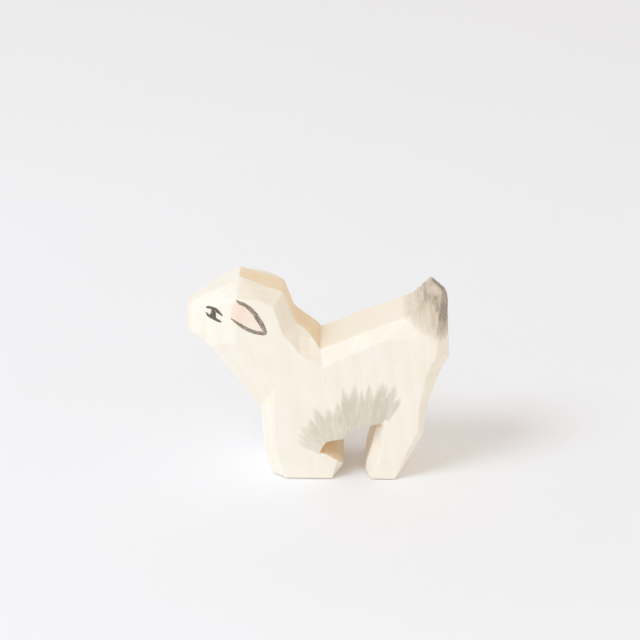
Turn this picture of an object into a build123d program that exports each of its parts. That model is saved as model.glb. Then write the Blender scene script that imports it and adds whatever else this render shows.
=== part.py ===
from build123d import *
import os

import numpy as np

# A small standing lamb, sawn from a board of pale wood, faceted with a knife and
# painted by hand. X runs from the nose to the rump, Y across the board and Z up.
# The origin is on the ground, under the middle of the figure.

# Driving sizes, in millimetres
body_length = 70.0  # nose to rump
body_height = 56.5  # ground to the front of the crown
body_thickness = 21.0  # the board that the figure is sawn from
paint_thickness = 0.1  # every coat of paint
eye_length = 4.5
eye_line_width = 0.65  # at the widest place of a lid's stroke
pupil_width = 1.5
pupil_height = 2.4
ear_length = 10.0
ear_line_width = 1.0  # at the widest place of an ear's stroke
eye_ear_gap = 2.1  # bare wood between an eye and the ear behind it

half_thickness = body_thickness / 2
middle_share = 0.5  # the origin's place along the body

# Corners of the carving on the animal's left half. Each row holds shares: along the
# body from nose to rump, of the height, and of the board's half thickness. The right
# half mirrors them. Ridge corners run once round the narrow edge band, from the top
# of the nose over the back, round the legs and up the chest. The knife leaves 0.70 of
# the board's sawn edge along most of it.
ridge_shares = {
    "nose_top": (0.006, 0.850, 0.20),
    "brow": (0.082, 0.915, 0.29),
    "brow_high": (0.177, 0.980, 0.43),
    "crown_front": (0.200, 1.000, 0.30),
    "crown_middle": (0.287, 0.964, 0.36),
    "crown_rear": (0.366, 0.930, 0.42),
    "nape": (0.403, 0.808, 0.38),
    "neck_top": (0.420, 0.775, 0.50),
    "neck_middle": (0.441, 0.757, 0.48),
    "neck_low": (0.468, 0.729, 0.53),
    "neck_base": (0.493, 0.694, 0.65),
    "valley": (0.509, 0.663, 0.73),
    "withers": (0.602, 0.712, 0.70),
    "back": (0.675, 0.755, 0.76),
    "loin": (0.740, 0.786, 0.70),
    "croup": (0.806, 0.819, 0.68),
    "tail_root": (0.858, 0.848, 0.66),
    "tail_top": (0.927, 0.976, 0.12),
    "tail_tip": (0.980, 0.918, 0.12),
    "tail_back": (0.990, 0.880, 0.23),
    "rump_top": (0.994, 0.680, 0.63),
    "rump": (1.000, 0.633, 0.68),
    "thigh_top": (0.972, 0.574, 0.70),
    "thigh": (0.948, 0.494, 0.70),
    "knee": (0.928, 0.424, 0.70),
    "shank": (0.914, 0.333, 0.70),
    "hock": (0.904, 0.221, 0.70),
    "pastern": (0.860, 0.110, 0.70),
    "hind_heel": (0.808, 0.000, 0.70),
    "hind_toe": (0.695, 0.000, 0.70),
    "hind_toe_top": (0.684, 0.030, 0.70),
    "hind_front": (0.686, 0.062, 0.70),
    "hind_front_top": (0.724, 0.246, 0.70),
    "leg_corner": (0.750, 0.296, 1.00),
    "belly_rear": (0.707, 0.291, 1.00),
    "belly": (0.677, 0.283, 1.00),
    "belly_middle": (0.632, 0.264, 1.00),
    "belly_step": (0.611, 0.244, 1.00),
    "belly_foot": (0.600, 0.216, 1.00),
    "belly_front": (0.560, 0.207, 1.00),
    "notch_top": (0.534, 0.198, 1.00),
    "notch_upper": (0.521, 0.173, 1.00),
    "notch": (0.508, 0.141, 1.00),
    "instep_top": (0.529, 0.135, 1.00),
    "instep": (0.565, 0.110, 1.00),
    "front_toe_side": (0.577, 0.099, 1.00),
    "front_toe": (0.600, 0.063, 0.70),
    "front_toe_low": (0.570, 0.000, 0.70),
    "front_heel": (0.328, 0.000, 0.70),
    "chest_low": (0.304, 0.071, 0.70),
    "chest": (0.291, 0.179, 0.70),
    "chest_high": (0.279, 0.355, 0.70),
    "throat_low": (0.239, 0.423, 0.70),
    "throat": (0.092, 0.669, 0.70),
    "jaw_rear": (0.042, 0.713, 0.57),
    "chin": (0.012, 0.728, 0.50),
    "nose_low": (0.000, 0.753, 0.46),
    "nose_side": (0.002, 0.815, 0.42),
}
# Corners of the flat side face, which lies on the sawn face of the board: shares along
# the body and of the height
side_shares = {
    "side_cheek": (0.200, 0.938),
    "side_crown": (0.287, 0.925),
    "side_crown_rear": (0.336, 0.900),
    "side_nape": (0.351, 0.836),
    "side_nape_low": (0.369, 0.759),
    "side_neck": (0.396, 0.723),
    "side_neck_middle": (0.434, 0.656),
    "side_neck_low": (0.475, 0.621),
    "side_valley": (0.521, 0.593),
    "side_withers": (0.555, 0.622),
    "side_back": (0.634, 0.662),
    "side_loin": (0.716, 0.718),
    "side_hip": (0.765, 0.741),
    "side_hip_rear": (0.877, 0.748),
    "side_tail": (0.918, 0.732),
    "side_rump_top": (0.953, 0.703),
    "side_rump": (0.950, 0.649),
    "side_thigh_top": (0.928, 0.602),
    "side_thigh": (0.909, 0.518),
    "side_knee": (0.899, 0.450),
    "side_shank": (0.887, 0.381),
    "side_hock": (0.885, 0.259),
    "side_pastern": (0.849, 0.160),
    "side_hind_heel": (0.796, 0.000),
    "side_hind_toe": (0.709, 0.000),
    "side_hind_toe_top": (0.721, 0.042),
    "side_hind_front": (0.744, 0.134),
    "side_hind_front_top": (0.755, 0.274),
    "side_front_toe_low": (0.556, 0.000),
    "side_front_heel": (0.379, 0.000),
    "side_chest_low": (0.355, 0.106),
    "side_chest": (0.337, 0.210),
    "side_chest_high": (0.334, 0.346),
    "side_throat_low": (0.335, 0.467),
    "side_jaw": (0.189, 0.714),
}


def stretch(names, first, last):
    """The names from first to last."""
    return names[names.index(first) : names.index(last) + 1]


# The arch under the belly has no knife facets, so its corners are in both outlines
ridge_outline = list(ridge_shares)
side_outline = stretch(list(side_shares), "side_cheek", "side_hind_front_top")
side_outline += stretch(ridge_outline, "leg_corner", "front_toe_side")
side_outline += stretch(list(side_shares), "side_front_toe_low", "side_jaw")

# Knife facets between the ridge and the side face, each a fan about its first corner
facets = [
    ["side_cheek", "nose_side", "nose_top", "brow", "brow_high", "crown_front"],
    ["side_jaw", "throat", "jaw_rear", "chin", "nose_low", "nose_side", "side_cheek"],
    ["side_crown", "side_cheek", "crown_front", "crown_middle"],
    ["side_crown_rear", "side_crown", "crown_middle", "crown_rear"],
    ["nape", "side_neck", "side_nape_low", "side_nape", "side_crown_rear", "crown_rear"],
    ["neck_top", "side_neck_middle", "side_neck", "nape"],
    ["side_neck_middle", "neck_top", "neck_middle", "neck_low"],
    ["side_neck_low", "side_neck_middle", "neck_low", "neck_base"],
    ["side_valley", "side_neck_low", "neck_base", "valley"],
    ["valley", "withers", "side_back", "side_withers", "side_valley"],
    ["side_back", "withers", "back", "side_loin"],
    ["side_loin", "back", "loin", "side_hip"],
    ["side_hip", "loin", "croup", "tail_root", "side_hip_rear"],
    ["tail_root", "side_tail", "side_hip_rear"],
    ["side_tail", "tail_root", "tail_top"],
    ["side_rump_top", "side_tail", "tail_top", "tail_tip"],
    ["side_rump_top", "tail_tip", "tail_back", "rump_top"],
    ["side_rump", "side_rump_top", "rump_top", "rump"],
    ["side_thigh_top", "side_rump", "rump", "thigh_top"],
    ["side_thigh", "side_thigh_top", "thigh_top", "thigh"],
    ["side_knee", "side_thigh", "thigh", "knee"],
    ["side_shank", "side_knee", "knee", "shank"],
    ["side_hock", "side_shank", "shank", "hock"],
    ["side_pastern", "side_hock", "hock", "pastern"],
    ["side_hind_heel", "side_pastern", "pastern", "hind_heel"],
    ["side_hind_toe", "hind_toe", "hind_toe_top", "side_hind_toe_top"],
    ["side_hind_toe_top", "hind_toe_top", "hind_front", "side_hind_front"],
    ["side_hind_front", "hind_front", "hind_front_top", "side_hind_front_top"],
    ["side_hind_front_top", "hind_front_top", "leg_corner"],
    ["front_toe_side", "front_toe", "front_toe_low", "side_front_toe_low"],
    ["side_front_heel", "front_heel", "chest_low", "side_chest_low"],
    ["side_chest_low", "chest_low", "chest", "side_chest"],
    ["side_chest", "chest", "chest_high", "side_chest_high"],
    ["side_throat_low", "side_chest_high", "chest_high", "throat_low"],
    ["side_jaw", "side_throat_low", "throat_low", "throat"],
]
# The two soles, as their left halves: ridge, side, side, ridge
soles = [
    ["hind_heel", "side_hind_heel", "side_hind_toe", "hind_toe"],
    ["front_toe_low", "side_front_toe_low", "side_front_heel", "front_heel"],
]


def place(along_share, up_share):
    """X and Z of a place given as shares of the body."""
    return (along_share - middle_share) * body_length, up_share * body_height


def wood_corners():
    """Each named corner of the animal's left half, as an array of X, Y and Z."""
    corners = {}
    for name, (along_share, up_share, depth_share) in ridge_shares.items():
        x, z = place(along_share, up_share)
        corners[name] = np.array([x, -depth_share * half_thickness, z])
    for name, (along_share, up_share) in side_shares.items():
        x, z = place(along_share, up_share)
        corners[name] = np.array([x, -half_thickness, z])
    return corners


def left_triangles():
    """The left half's facets as triangles of corner names."""
    triangles = []
    for facet in facets:
        for second, third in zip(facet[1:-1], facet[2:]):
            triangles.append((facet[0], second, third))
    return triangles


def band_sides():
    """Each pair of ridge corners that follow one another round the edge band."""
    return list(zip(ridge_outline, ridge_outline[1:] + ridge_outline[:1]))


def unit_normal(first, second, third):
    """The direction square to three corners."""
    normal = np.cross(second - first, third - first)
    return normal / np.linalg.norm(normal)


def facet_normals(corners):
    """For each corner, the outward directions of the facets that meet there."""
    normals = {name: [] for name in corners}
    for names in left_triangles():
        normal = unit_normal(*(corners[name] for name in names))
        outward = normal if normal[1] < 0 else -normal
        for name in names:
            normals[name].append(outward)
    for name in side_outline:
        normals[name].append(np.array([0, -1, 0]))
    for name, following in band_sides():
        along = corners[following] - corners[name]
        outward = np.array([-along[2], 0.0, along[0]]) / np.linalg.norm(along[[0, 2]])
        normals[name].append(outward)
        normals[following].append(outward)
    return normals


def coated_corners(coat):
    """The corners, moved out so that every facet lies one coat outside the wood."""
    corners = wood_corners()
    moved = {}
    for name, normals in facet_normals(corners).items():
        shift, *_ = np.linalg.lstsq(np.array(normals), np.ones(len(normals)), rcond=None)
        moved[name] = corners[name] + coat * shift
    for name in side_outline:
        moved[name][1] = -half_thickness - coat
    for name in sum(soles, []):
        moved[name][2] = 0.0
    return moved


def other_half(corner):
    """The same corner on the animal's right half."""
    x, y, z = corner
    return np.array([x, -y, z])


def polygon(points):
    """A flat face through points, in order."""
    return Face(Wire.make_polygon([tuple(point) for point in points]))


def faceted_solid(corners):
    """The carving as one solid: facets, side faces, soles and the edge band."""
    halves = left_triangles() + soles + [side_outline]
    faces = [polygon(corners[name] for name in names) for names in halves]
    faces += [polygon(other_half(corners[name]) for name in names) for names in halves]
    for name, following in band_sides():
        near = [corners[name], corners[following]]
        far = [other_half(corner) for corner in reversed(near)]
        faces.append(polygon(near + far))
    return Solid(Shell(faces)).clean()


def film(outline, deepest):
    """Paint inside an outline drawn on the XZ plane: what lies between the wood and one
    coat out, from the animal's left as far in as the depth Y."""
    nearest = -body_thickness
    brush = extrude(Pos(0, nearest, 0) * outline, deepest - nearest, dir=(0, 1, 0))
    return (coated_body & brush) - carved_body


def stroke_outline(points, widths):
    """The outline of a brush stroke: a smooth band about its points, pointed where a
    width is zero."""
    line = np.array(points)
    along = np.gradient(line, axis=0)
    along /= np.linalg.norm(along, axis=1)[:, None]
    across = np.column_stack([-along[:, 1], along[:, 0]])
    offsets = across * np.array(widths)[:, None] / 2
    upper = [(x, 0, z) for x, z in line + offsets]
    lower = [(x, 0, z) for x, z in (line - offsets)[::-1]]
    edges = [Spline(*upper), Spline(*lower)]
    ends = [(upper[-1], lower[0]), (lower[-1], upper[0])]
    edges += [Line(*end) for end in ends if end[0] != end[1]]
    return make_face(edges)


def marks_on_body(shares):
    """Places given as shares of the body, as X and Z."""
    return [place(along_share, up_share) for along_share, up_share in shares]


def marks_about(centre, size, shares):
    """Places given as shares of a mark's size, counted from its centre."""
    x, z = centre
    return [(x + size * right_share, z + size * up_share) for right_share, up_share in shares]


def flat_outline(points):
    """A straight-sided outline on the XZ plane."""
    return polygon((x, 0, z) for x, z in points)


# The painted marks of the left side. An eye's places are shares of its length, counted
# from the pupil, and an ear's are shares of its length, counted from its drooping tip.
eye_centre_share = (0.105, 0.837)
upper_lid_shares = [(-0.43, 0.39), (-0.17, 0.42), (0.10, 0.37), (0.29, 0.24), (0.57, 0.02)]
lower_lid_shares = [(-0.46, 0.05), (-0.29, -0.14), (-0.08, -0.25), (0.14, -0.31), (0.48, -0.40)]
lid_width_shares = [0.35, 0.80, 1.00, 0.90, 0.20]
ear_tip_up_share = 0.763
ear_upper_shares = [
    (-0.79, 0.96),
    (-0.69, 0.89),
    (-0.56, 0.83),
    (-0.44, 0.73),
    (-0.32, 0.59),
    (-0.22, 0.44),
    (-0.10, 0.22),
    (0.00, 0.00),
]
ear_upper_width_shares = [0.25, 0.50, 0.60, 0.80, 1.00, 1.00, 0.90, 0.30]
ear_lower_shares = [
    (-0.95, 0.41),
    (-0.81, 0.34),
    (-0.69, 0.25),
    (-0.56, 0.17),
    (-0.41, 0.09),
    (-0.25, 0.04),
    (-0.12, 0.01),
    (0.00, 0.00),
]
ear_lower_width_shares = [0.20, 0.60, 0.75, 0.80, 0.80, 0.75, 0.80, 0.30]
ear_root_shares = [(-0.93, 0.60), (-0.91, 0.78)]
belly_wash_shares = [
    (0.508, 0.141),
    (0.498, 0.162),
    (0.461, 0.183),
    (0.420, 0.211),
    (0.449, 0.226),
    (0.423, 0.241),
    (0.456, 0.247),
    (0.435, 0.277),
    (0.472, 0.269),
    (0.467, 0.319),
    (0.498, 0.308),
    (0.490, 0.376),
    (0.521, 0.344),
    (0.539, 0.383),
    (0.560, 0.366),
    (0.574, 0.412),
    (0.592, 0.377),
    (0.595, 0.476),
    (0.623, 0.406),
    (0.645, 0.508),
    (0.657, 0.460),
    (0.668, 0.484),
    (0.681, 0.432),
    (0.694, 0.495),
    (0.725, 0.453),
    (0.752, 0.521),
    (0.771, 0.454),
    (0.793, 0.497),
    (0.817, 0.441),
    (0.804, 0.374),
    (0.784, 0.324),
    (0.764, 0.288),
    (0.745, 0.280),
    (0.620, 0.200),
]
# The tail's wash goes right round, and the nose's round both sides of its front
tail_wash_shares = [
    (0.830, 1.050),
    (0.830, 0.830),
    (0.845, 0.790),
    (0.860, 0.820),
    (0.880, 0.745),
    (0.895, 0.790),
    (0.915, 0.710),
    (0.928, 0.770),
    (0.948, 0.690),
    (0.958, 0.760),
    (0.975, 0.720),
    (0.985, 0.780),
    (1.050, 0.770),
    (1.050, 1.050),
]
nose_blush_shares = [
    (-0.020, 0.725),
    (0.012, 0.732),
    (0.022, 0.755),
    (0.016, 0.790),
    (0.024, 0.815),
    (0.010, 0.900),
    (-0.020, 0.900),
]


def ear_tip():
    """X and Z of the ear's tip: the ear begins one gap behind the eye's rear end."""
    eye_x, _ = place(*eye_centre_share)
    _, tip_z = place(middle_share, ear_tip_up_share)
    eye_end_share, _ = upper_lid_shares[-1]
    ear_start_share, _ = ear_lower_shares[0]
    ear_start = eye_x + eye_length * eye_end_share + eye_ear_gap
    return ear_start - ear_length * ear_start_share, tip_z


def eye_marks():
    """The eye: a stroke for each lid, and a pupil that joins them."""
    x, z = place(*eye_centre_share)
    upper_places = marks_about((x, z), eye_length, upper_lid_shares)
    lower_places = marks_about((x, z), eye_length, lower_lid_shares)
    widths = [share * eye_line_width for share in lid_width_shares]
    upper_lid = film(stroke_outline(upper_places, widths), 0)
    lower_lid = film(stroke_outline(lower_places, widths), 0)
    pupil_shape = Plane.XZ * Ellipse(pupil_width / 2, pupil_height / 2)
    pupil = film(Pos(x, 0, z) * pupil_shape, 0) - upper_lid - lower_lid
    return {"eye_upper_lid": upper_lid, "eye_lower_lid": lower_lid, "eye_pupil": pupil}


def ear_marks():
    """The ear: two strokes that meet at its tip, and the blush between them."""
    upper_places = marks_about(ear_tip(), ear_length, ear_upper_shares)
    lower_places = marks_about(ear_tip(), ear_length, ear_lower_shares)
    root_places = marks_about(ear_tip(), ear_length, ear_root_shares)
    upper_widths = [share * ear_line_width for share in ear_upper_width_shares]
    lower_widths = [share * ear_line_width for share in ear_lower_width_shares]
    upper_line = film(stroke_outline(upper_places, upper_widths), 0)
    lower_line = film(stroke_outline(lower_places, lower_widths), 0) - upper_line
    inside = flat_outline(upper_places + lower_places[-2::-1] + root_places)
    blush = film(inside, 0) - upper_line - lower_line
    return {"ear_upper_line": upper_line, "ear_lower_line": lower_line, "ear_blush": blush}


def belly_mark():
    """The grey wash on the flat side above the arch, feathered upwards."""
    outline = flat_outline(marks_on_body(belly_wash_shares))
    return {"belly_wash": film(outline, -half_thickness)}


carved_body = faceted_solid(wood_corners())
coated_body = faceted_solid(coated_corners(paint_thickness))

nodes = {"carved_body": carved_body}
nodes["tail_wash"] = film(flat_outline(marks_on_body(tail_wash_shares)), body_thickness)
nodes["nose_blush"] = film(flat_outline(marks_on_body(nose_blush_shares)), body_thickness)
for name, mark in {**eye_marks(), **ear_marks(), **belly_mark()}.items():
    nodes["left_" + name] = mark
    nodes["right_" + name] = mirror(mark, about=Plane.XZ)

os.makedirs("parts", exist_ok=True)
for name, node in nodes.items():
    export_step(node, f"parts/{name}.step")
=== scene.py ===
import math

import bmesh
import bpy
import numpy as np
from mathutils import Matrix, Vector, noise
from mathutils.geometry import delaunay_2d_cdt


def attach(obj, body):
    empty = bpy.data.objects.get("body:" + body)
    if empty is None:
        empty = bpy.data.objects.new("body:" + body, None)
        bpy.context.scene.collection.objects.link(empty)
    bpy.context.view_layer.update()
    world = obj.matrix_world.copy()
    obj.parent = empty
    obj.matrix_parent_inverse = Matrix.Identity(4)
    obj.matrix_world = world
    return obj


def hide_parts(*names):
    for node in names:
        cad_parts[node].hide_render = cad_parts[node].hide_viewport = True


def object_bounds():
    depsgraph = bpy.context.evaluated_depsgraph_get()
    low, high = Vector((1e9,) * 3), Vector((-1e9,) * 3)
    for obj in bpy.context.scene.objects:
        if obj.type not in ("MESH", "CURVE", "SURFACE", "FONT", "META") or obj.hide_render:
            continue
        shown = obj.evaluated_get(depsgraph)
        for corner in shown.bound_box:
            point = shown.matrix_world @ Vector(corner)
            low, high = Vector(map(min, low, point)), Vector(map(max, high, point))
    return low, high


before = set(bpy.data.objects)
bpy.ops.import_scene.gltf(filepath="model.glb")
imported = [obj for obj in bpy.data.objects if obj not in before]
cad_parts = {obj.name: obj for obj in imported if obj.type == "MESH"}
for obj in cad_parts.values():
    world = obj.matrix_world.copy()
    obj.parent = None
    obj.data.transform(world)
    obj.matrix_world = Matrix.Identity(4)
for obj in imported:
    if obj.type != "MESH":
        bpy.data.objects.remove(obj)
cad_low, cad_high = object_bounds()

# A small lamb carved from one block of pale wood and painted by hand. The scene keeps
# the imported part's frame: X from the nose to the rump, Z up from the ground, and the
# animal's left side at negative Y. Lengths below are in millimetres until the mesh or
# the light that takes them turns them into metres.
MM = 0.001

# Fineness of the wood's surface
CREASE_STEP = 0.36  # between points along a knife edge
CREASE_ROWS = (0.11, 0.27, 0.52)  # rows of points beside it, which carry its rounding
OPEN_STEP = 0.72  # between points on the open wood
PAINTED_STEP = 0.34  # and where paint needs a finer surface
SAME_POINT = 0.01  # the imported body's corners nearer than this are one
SAME_FACET = math.radians(0.4)  # and triangles that bend less are one facet
ROUNDING = 1e-4  # allowed in distances
CUT_ROUNDING = 1e-5  # and where a facet is cut up
ON_GROUND = 1e-3  # an edge whose ends' heights add up to less lies on the ground

# How squarely a facet faces across the board: less than the first round the sawn outline,
# and more than the second on the flat sides. The knife's cuts lie between them.
SAWN_FACING = 0.02
FLAT_FACING = 0.999

# How far from a knife edge its easing reaches, and in how many small steps it is made.
# Two cuts that differ by less than the faint angle run into one another.
EDGE_EASE = (0.45, 4)
FAINT_EASE = (1.6, 16)
FAINT_ANGLE = math.radians(14)
EASE_STEP = 0.5  # how far a step goes towards the neighbours' middle
SHARP_MARGIN = 0.1  # nearer than this to a sharp edge, a faint one stays
SOLE_EDGE_RISE = (0.3, 0.45)  # how high a sole's rim stands, and over what width
SOLE_EASE = 1.2  # the surface strays fully from this height above the soles

# Unevenness left by the hand: how far the surface strays, over what length, and a seed.
# The edges wander along X, Y and Z with a seed and a share for each.
FACET_SWELL = (0.075, 4.2, 3)
SIDE_SWELL = (0.05, 9.0, 7)
FINE_SWELL = (0.016, 1.6, 11)
EDGE_WANDER = (0.11, 5.0)
WANDER_SEEDS = (17, 23, 29)
WANDER_SHARES = (1, 0.4, 1)

# Places on the lamb, as the least and most X and the least and most Z
BELLY_AREA = (-7.5, 24.0, 7.0, 31.5)
TAIL_AREA = (16.5, 36.0, 34.0, 57.0)
EAR_AREA = (-24.6, -12.6, 41.8, 54.2)
NOSE_AREA = (-36.0, -32.0, 39.0, 51.0)
BROW_AREA = (-36.0, -21.0, 47.0, 57.0)
CROWN_AREA = (-21.0, -9.0, 51.0, 57.0)
NECK_AREA = (-9.5, 0.9, 36.0, 53.0)
BACK_AREA = (0.5, 36.0, 33.0, 57.0)
ARCH_AREA = (0.2, 18.0, 0.5, 17.5)
INNER_LEG_AREA = (11.8, 18.0, 0.5, 17.0)
PAINTED_AREAS = (BELLY_AREA, TAIL_AREA, EAR_AREA, NOSE_AREA)
# How brown each place's sawn faces are made, and elsewhere: partly the saw's real browning and
# partly painted shade, deepest on the crown's top and the neck's back, which face away from the
# window, and in the arch under the belly, and faint on the lit back and brow
TOAST_AND_SHADE = [(CROWN_AREA, 0.58), (NECK_AREA, 0.6), (BACK_AREA, 0.075), (ARCH_AREA, 0.58),
         (INNER_LEG_AREA, 0.15), (BROW_AREA, 0.04)]
OTHER_TOAST_AND_SHADE = 0.22
ARCH_SHADE_CORNER = (0.6, 8.6)  # X and Z of the arch's inner corner, towards which painted shade darkens the sawn faces
ARCH_SHADE_REACH = (0.5, 6.0)  # the distances from there between which that painted shade fades
TORN_AND_LIT_REACH = (0.8, 6.5)  # and those from the board's sides between which the pale saw streaks fade; the streaks are real tears, made paler near the arch's open sides as painted light


def linear(hex_colour):
    """An sRGB hex colour as the linear red, green, blue and alpha that a node takes."""
    shares = [int(hex_colour[i : i + 2], 16) / 255 for i in (1, 3, 5)]
    return [s / 12.92 if s <= 0.04045 else ((s + 0.055) / 1.055) ** 2.4 for s in shares] + [1]


def add(tree, kind, inputs=(), out=0, **settings):
    """A new node of one kind, with its settings made and its inputs set or linked, in order
    or by name. Gives the output that is asked for."""
    node = tree.nodes.new(kind)
    for name, value in settings.items():
        setattr(node, name, value)
    given = inputs if isinstance(inputs, dict) else dict(enumerate(inputs))
    for key, value in given.items():
        if isinstance(value, bpy.types.NodeSocket):
            tree.links.new(value, node.inputs[key])
        else:
            node.inputs[key].default_value = value
    return node.outputs[out] if len(node.outputs) else None


# The kinds of node that are used most, and the settings of some. A mix of colours takes
# its share at input 0 and its colours at 6 and 7, and gives the result at output 2.
MATH, VECTOR_MATH = "ShaderNodeMath", "ShaderNodeVectorMath"
NOISE, RISE = "ShaderNodeTexNoise", "ShaderNodeMapRange"
MIX, STRETCH = "ShaderNodeMix", "ShaderNodeMapping"
MARK, PLACE, JOIN_XYZ = "ShaderNodeAttribute", "ShaderNodeTexCoord", "ShaderNodeCombineXYZ"
STORE, STORED = "GeometryNodeStoreNamedAttribute", "GeometryNodeInputNamedAttribute"
MOVE, SPOT = "GeometryNodeSetPosition", "GeometryNodeInputPosition"
TIMES, PLUS, MINUS = {"operation": "MULTIPLY"}, {"operation": "ADD"}, {"operation": "SUBTRACT"}
TIMES_PLUS, LENGTHEN = {"operation": "MULTIPLY_ADD"}, {"operation": "SCALE"}
SMOOTH = {"interpolation_type": "SMOOTHSTEP"}
COLOUR_MIX = {"data_type": "RGBA", "out": 2}
COLOUR_TIMES = {"data_type": "RGBA", "blend_type": "MULTIPLY", "out": 2}


def eased(value, low, high):
    """0 below low, 1 above high, and a smooth rise between."""
    share = np.clip((value - low) / (high - low), 0, 1)
    return share * share * (3 - 2 * share)


def ripple(points, size, length, seed):
    """Smooth noise at each point, up to a size either way, with features of one length."""
    offset = Vector((seed, seed, seed))
    return size * np.array([noise.noise(Vector(p) / length + offset) for p in points])


# The wood's surface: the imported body's facets, finely divided, with the knife's edges
# eased and the hand's unevenness added


def whole_facets():
    """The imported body's surface with its loose triangles joined into flat facets."""
    facets = bmesh.new()
    facets.from_mesh(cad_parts["carved_body"].data)
    bmesh.ops.remove_doubles(facets, verts=facets.verts, dist=SAME_POINT * MM)
    whole = {"verts": facets.verts, "edges": facets.edges}
    bmesh.ops.dissolve_limit(facets, angle_limit=SAME_FACET, **whole)
    facets.normal_update()
    facets.verts.index_update()
    return facets


def edge_distance(points, starts, ends):
    """How near each point lies to the nearest of some straight edges."""
    nearest = np.full(len(points), np.inf)
    for start, end in zip(starts, ends):
        along = end - start
        share = np.clip((points - start) @ along / (along @ along), 0, 1)
        offset = points - start - share[:, None] * along
        nearest = np.minimum(nearest, np.linalg.norm(offset, axis=1))
    return nearest


def is_inside(points, starts, ends):
    """Whether each flat point lies inside an outline of straight edges."""
    inside = np.zeros(len(points), bool)
    for (x0, y0), (x1, y1) in zip(starts, ends):
        if y0 != y1:
            spans = (y0 > points[:, 1]) != (y1 > points[:, 1])
            crossing = x0 + (points[:, 1] - y0) * (x1 - x0) / (y1 - y0)
            inside ^= spans & (points[:, 0] < crossing)
    return inside


def points_beside_edges(starts, ends):
    """Rows of points beside each edge of a facet."""
    rows = [np.zeros((0, 2))]
    for start, end in zip(starts, ends):
        along = end - start
        length = math.hypot(*along)
        inward = np.array([-along[1], along[0]]) / length
        count = math.ceil(length / CREASE_STEP)
        for number, depth in enumerate(CREASE_ROWS):
            shares = (np.arange(count) + (0.5, 1.0)[number % 2]) / count
            row = start + shares[:, None] * along + depth * inward
            rows.append(row[edge_distance(row, starts, ends) > depth - ROUNDING])
    return np.concatenate(rows)


def points_on_open(starts, ends, step):
    """Staggered points that fill a facet, kept off its edges."""
    low, high = starts.min(0), starts.max(0)
    rows = [np.zeros((0, 2))]
    for number, up in enumerate(np.arange(low[1], high[1], step * math.sqrt(3) / 2)):
        along = np.arange(low[0] + step * (number % 2) / 2, high[0], step)
        rows.append(np.column_stack([along, np.full(len(along), up)]))
    points = np.concatenate(rows)
    points = points[is_inside(points, starts, ends)]
    return points[edge_distance(points, starts, ends) > CREASE_ROWS[-1] + step / 2]


def in_area(points, area):
    """Whether each point's X and Z are in an area."""
    x, z = points[:, 0], points[:, 2]
    return (x > area[0]) & (x < area[1]) & (z > area[2]) & (z < area[3])


def is_painted(points):
    """Whether each point is where paint lies."""
    return np.any([in_area(points, area) for area in PAINTED_AREAS], axis=0)


def fine_surface():
    """The facets in fine triangles: points, triangles, each triangle's facet normal, and
    the knife edges as their starts, ends and angles."""
    facets = whole_facets()
    points = [np.array(vertex.co) / MM for vertex in facets.verts]
    on_edge = {}
    knife_edges = []
    for edge in facets.edges:
        first, last = (points[vertex.index] for vertex in edge.verts)
        knife_edges.append((first, last, edge.calc_face_angle()))
        count = math.ceil(np.linalg.norm(last - first) / CREASE_STEP)
        on_edge[edge.index] = list(range(len(points), len(points) + count - 1))
        points += [first + (last - first) * i / count for i in range(1, count)]
    triangles, normals = [], []
    for face in facets.faces:
        border = []
        for loop in face.loops:
            between = on_edge[loop.edge.index]
            forwards = loop.vert == loop.edge.verts[0]
            border += [loop.vert.index] + (between if forwards else between[::-1])
        normal = np.array(face.normal)
        start = points[border[0]]
        across = np.cross(normal, points[border[1]] - start)
        across /= np.linalg.norm(across)
        flat_axes = np.column_stack([np.cross(across, normal), across])
        corners = np.array([points[loop.vert.index] - start for loop in face.loops]) @ flat_axes
        ends = np.roll(corners, -1, axis=0)
        edge_points = (np.array([points[i] for i in border]) - start) @ flat_axes
        flat = [edge_points, points_beside_edges(corners, ends)]
        for step, painted in ((OPEN_STEP, False), (PAINTED_STEP, True)):
            filling = points_on_open(corners, ends, step)
            flat.append(filling[is_painted(start + filling @ flat_axes.T) == painted])
        flat = np.concatenate(flat)
        outline = [list(range(len(border)))]
        found = delaunay_2d_cdt([Vector(p) for p in flat], [], outline, 1, CUT_ROUNDING)
        numbers = []
        for spot, sources in zip(found[0], found[3]):
            if sources and sources[0] < len(border):
                numbers.append(border[sources[0]])
            else:
                numbers.append(len(points))
                points.append(start + flat_axes @ np.array(spot))
        triangles += [[numbers[i] for i in corner] for corner in found[2]]
        normals += [normal] * len(found[2])
    facets.free()
    return np.array(points), np.array(triangles), np.array(normals), knife_edges


def point_average(count, triangles, values):
    """A value of each triangle, averaged at each point."""
    total = np.zeros(count)
    number = np.zeros(count)
    for corner in triangles.T:
        total += np.bincount(corner, values, count)
        number += np.bincount(corner, minlength=count)
    return total / np.maximum(number, 1)


def point_normals(points, triangles):
    """The direction square to the surface at each point."""
    first, second, third = (points[corner] for corner in triangles.T)
    square = np.cross(second - first, third - first)
    normals = np.column_stack([point_average(len(points), triangles, s) for s in square.T])
    return normals / np.linalg.norm(normals, axis=1)[:, None]


def triangle_sides(triangles):
    """The three sides of every triangle, each as the numbers of its two points."""
    return np.concatenate([triangles[:, pair] for pair in ([0, 1], [1, 2], [2, 0])])


def ease(points, triangles, share, passes):
    """The surface after small steps, square to it, towards each point's neighbours."""
    here, there = triangle_sides(triangles).T
    count = len(points)
    degree = np.bincount(here, minlength=count)[:, None]
    for _ in range(passes):
        total = [np.bincount(here, values, count) for values in points[there].T]
        step = np.column_stack(total) / degree - points
        outward = point_normals(points, triangles)
        points = points + (share * (step * outward).sum(1))[:, None] * outward
    return points


def nearest_edge(points, knife_edges):
    """How near each point lies to the nearest of some knife edges."""
    starts, ends = zip(*[(start, end) for start, end, _ in knife_edges])
    return edge_distance(points, starts, ends)


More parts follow.
